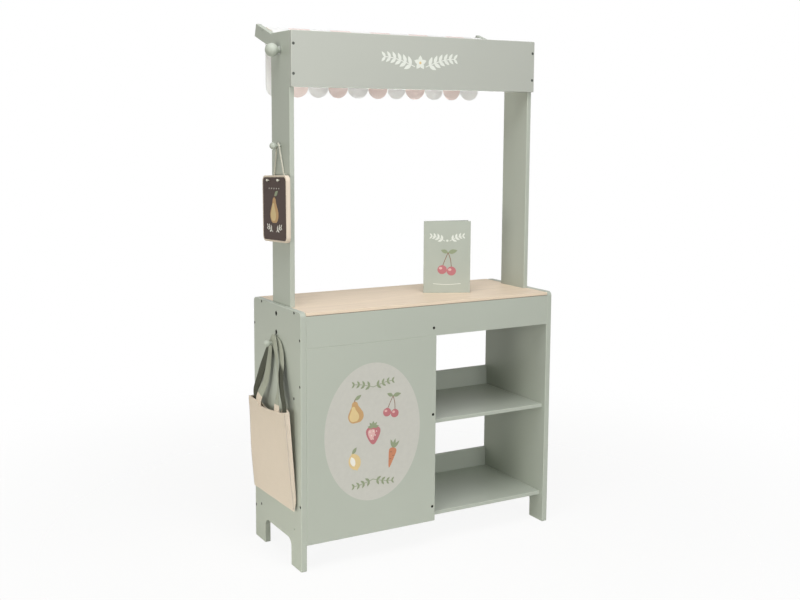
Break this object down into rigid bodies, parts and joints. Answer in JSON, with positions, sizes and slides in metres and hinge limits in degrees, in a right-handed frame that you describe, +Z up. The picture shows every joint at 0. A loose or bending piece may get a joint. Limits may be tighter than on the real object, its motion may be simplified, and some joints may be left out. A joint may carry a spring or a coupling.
{
  "type": "toy market stall",
  "caption": "Free-standing toy stall with open shelves, wooden worktop, sign board on posts, tilting striped awning on ball knobs, hanging tablet, tote bag and folded card.",
  "frame": {"origin": "on the floor, under the middle of the whole stall's bounding box", "axes": "+Z up, +X to the right seen from the printed front, front faces -Y, awning at the rear"},
  "size_m": [0.6462, 0.2712, 1.0824],
  "materials": {
    "sage_paint": "wood-fibre board in matt sage paint",
    "sign_paint": "wood-fibre board in matt pale sage paint",
    "bare_wood": "clear-varnished pale wood",
    "dark_steel": "dark plated steel",
    "zinc": "zinc-plated steel",
    "striped_cloth": "cotton with white and blush stripes",
    "taupe_face": "matt dark taupe paint",
    "cord_cotton": "twisted cotton cord",
    "bag_cotton": "unbleached cotton",
    "webbing": "sage woven webbing",
    "card_stock": "coated card"
  },
  "bodies": {
    "stall": {"left_gable": "sage_paint", "right_gable": "sage_paint", "worktop": "bare_wood", "front_rail": "sage_paint", "front_panel": "sage_paint", "divider": "sage_paint", "right_middle_shelf": "sage_paint", "right_bottom_shelf": "sage_paint", "left_middle_shelf": "sage_paint", "left_bottom_shelf": "sage_paint", "top_back_rail": "sage_paint", "middle_back_rail": "sage_paint", "bottom_back_rail": "sage_paint", "left_post": "sage_paint", "right_post": "sage_paint", "sign_board": "sign_paint", "left_gable_screws": "dark_steel", "right_gable_screws": "dark_steel", "divider_screws": "dark_steel", "front_screws": "dark_steel", "rear_screws": "dark_steel", "sign_screws": "dark_steel", "post_bolts": "dark_steel", "post_nuts": "zinc", "tablet_peg": "sage_paint", "bag_peg": "sage_paint", "knob_washers": "zinc"},
    "awning": {"left_arm": "sage_paint", "right_arm": "sage_paint", "front_slat": "bare_wood", "rear_slat": "bare_wood", "slat_screws": "dark_steel", "tee_nuts": "zinc", "awning_roof": "striped_cloth"},
    "valance": {"awning_valance": "striped_cloth"},
    "left_clamp": {"left_knob": "sage_paint", "left_pivot_bolt": "zinc"},
    "right_clamp": {"right_knob": "sage_paint", "right_pivot_bolt": "zinc"},
    "tablet": {"menu_tablet": "bare_wood", "tablet_face": "taupe_face", "tablet_cord": "cord_cotton"},
    "bag": {"bag_body": "bag_cotton", "outer_handle": "webbing", "inner_handle": "webbing"},
    "card": {"card_front_leaf": "card_stock"},
    "card_leaf": {"card_back_leaf": "card_stock"}
  },
  "joints": [
    {"name": "awning_tilt", "type": "hinge", "parent": "stall", "child": "awning", "pos_m": [0.00438, -0.01855, 1.02], "axis": [1, 0, 0], "range_deg": [-105, 30]},
    {"name": "valance_hang", "type": "hinge", "parent": "awning", "child": "valance", "pos_m": [0.00438, 0.10969, 1.06408], "axis": [1, 0, 0], "range_deg": [-30, 105]},
    {"name": "left_knob_turn", "type": "hinge", "parent": "stall", "child": "left_clamp", "pos_m": [-0.29563, -0.01855, 1.02], "axis": [1, 0, 0], "range_deg": [-360, 0]},
    {"name": "right_knob_turn", "type": "hinge", "parent": "stall", "child": "right_clamp", "pos_m": [0.30438, -0.01855, 1.02], "axis": [-1, 0, 0], "range_deg": [-360, 0]},
    {"name": "tablet_swing", "type": "hinge", "parent": "stall", "child": "tablet", "pos_m": [-0.28913, -0.01855, 0.834], "axis": [1, 0, 0], "range_deg": [-30, 30]},
    {"name": "bag_swing", "type": "hinge", "parent": "stall", "child": "bag", "pos_m": [-0.30562, -0.01855, 0.44], "axis": [1, 0, 0], "range_deg": [-20, 20]},
    {"name": "card_lift", "type": "slide", "parent": "stall", "child": "card", "axis": [0, 0, 1], "range_m": [0, 0.15]},
    {"name": "card_open", "type": "hinge", "parent": "card", "child": "card_leaf", "pos_m": [0.04788, -0.01955, 0.5172], "axis": [0, 0, 1], "range_deg": [-11, 160]}
  ],
  "couplings": [
    {"joint": "valance_hang", "follows": "awning_tilt", "ratio": -1}
  ]
}
